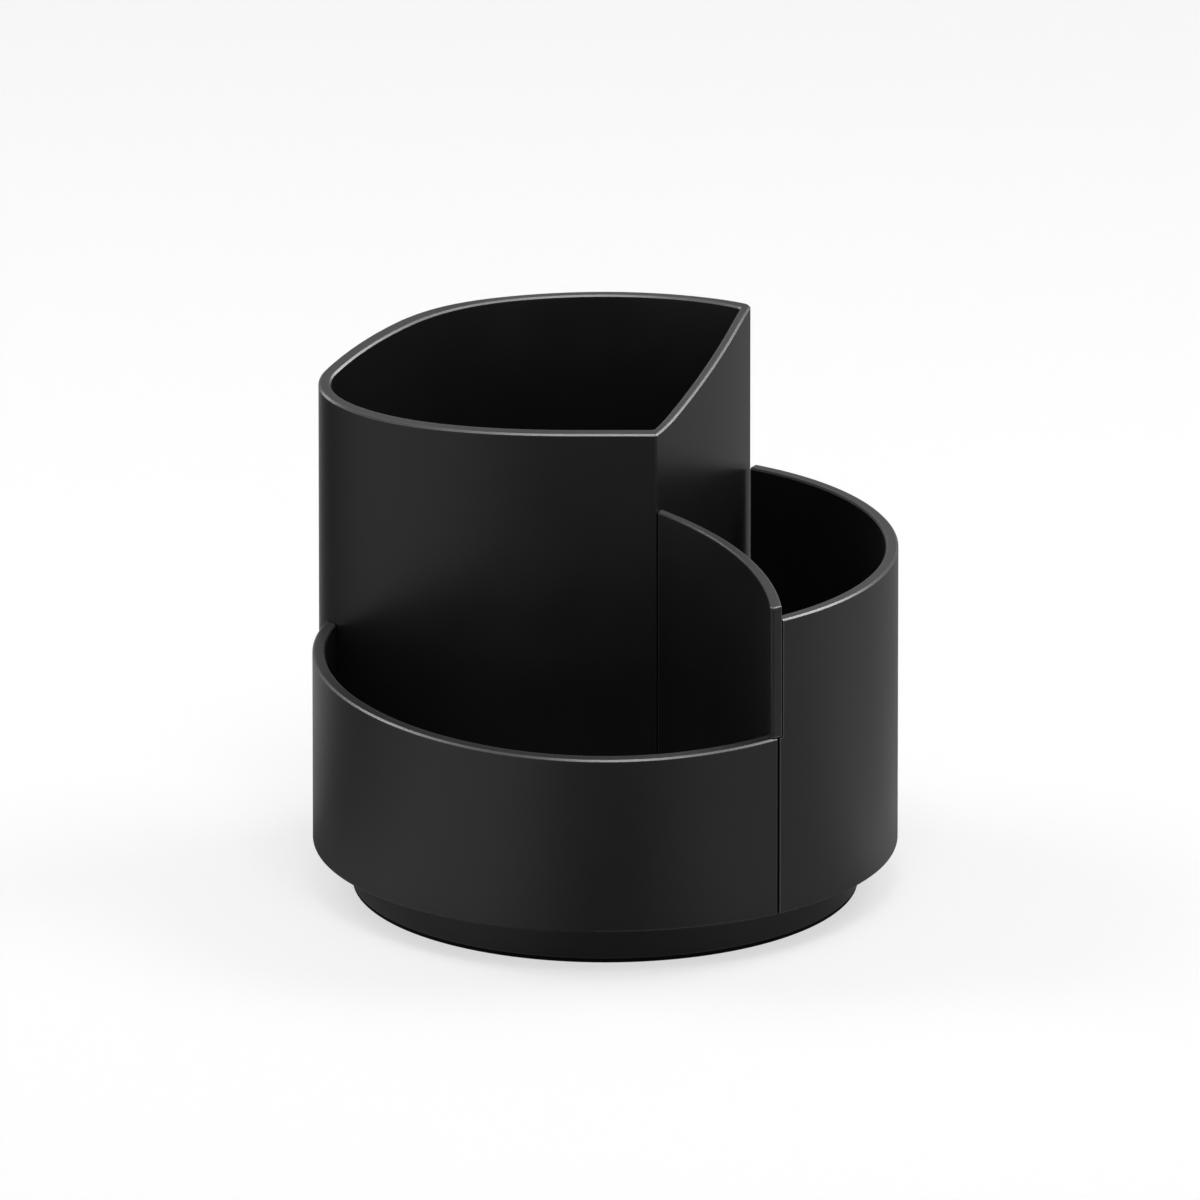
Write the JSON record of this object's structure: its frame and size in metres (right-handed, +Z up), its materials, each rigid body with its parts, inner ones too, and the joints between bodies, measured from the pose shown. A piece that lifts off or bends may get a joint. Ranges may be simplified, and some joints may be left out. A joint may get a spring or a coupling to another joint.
{
  "type": "rotating desk organizer",
  "caption": "Round rotating desk organizer in black plastic: tall bin, pen bin and low front tray on a ball bearing base.",
  "frame": {"origin": "on the desk at the turning axis, in the middle of the base's underside", "axes": "+Z up along the turning axis, +X to the right, +Y away from the viewer; the low tray faces -Y"},
  "size_m": [0.15, 0.15, 0.134],
  "materials": {
    "bin_plastic": "satin moulded black plastic with a fine grain",
    "base_plastic": "matte moulded black plastic",
    "inner_plastic": "plain moulded dark grey plastic",
    "cage_plastic": "natural white self-lubricating plastic",
    "ring_rubber": "soft matte black rubber",
    "bearing_steel": "polished bearing steel",
    "screw_steel": "zinc plated steel",
    "insert_brass": "turned brass"
  },
  "bodies": {
    "base": {"base_shell": "base_plastic", "base_bush": "cage_plastic", "lower_race": "inner_plastic", "lower_race_screws": "screw_steel", "anti_slip_ring": "ring_rubber", "pivot_cover": "base_plastic"},
    "ball_retainer": {"ball_cage": "cage_plastic", "bearing_balls": "bearing_steel"},
    "turntable": {"platform": "inner_plastic", "hub_insert": "insert_brass", "upper_race": "inner_plastic", "upper_race_screws": "screw_steel", "pivot_screw": "screw_steel", "pivot_washer": "bearing_steel", "thrust_washer": "cage_plastic", "bin_screws": "screw_steel", "tall_bin": "bin_plastic", "pen_bin": "bin_plastic", "front_tray": "bin_plastic"}
  },
  "joints": [
    {"name": "turntable_spin", "type": "hinge", "parent": "base", "child": "turntable", "pos_m": [0, 0, 0.0123], "axis": [0, 0, 1], "continuous": true},
    {"name": "cage_spin", "type": "hinge", "parent": "base", "child": "ball_retainer", "pos_m": [0, 0, 0.00775], "axis": [0, 0, 1], "continuous": true}
  ],
  "couplings": [
    {"joint": "cage_spin", "follows": "turntable_spin", "ratio": 0.5}
  ]
}
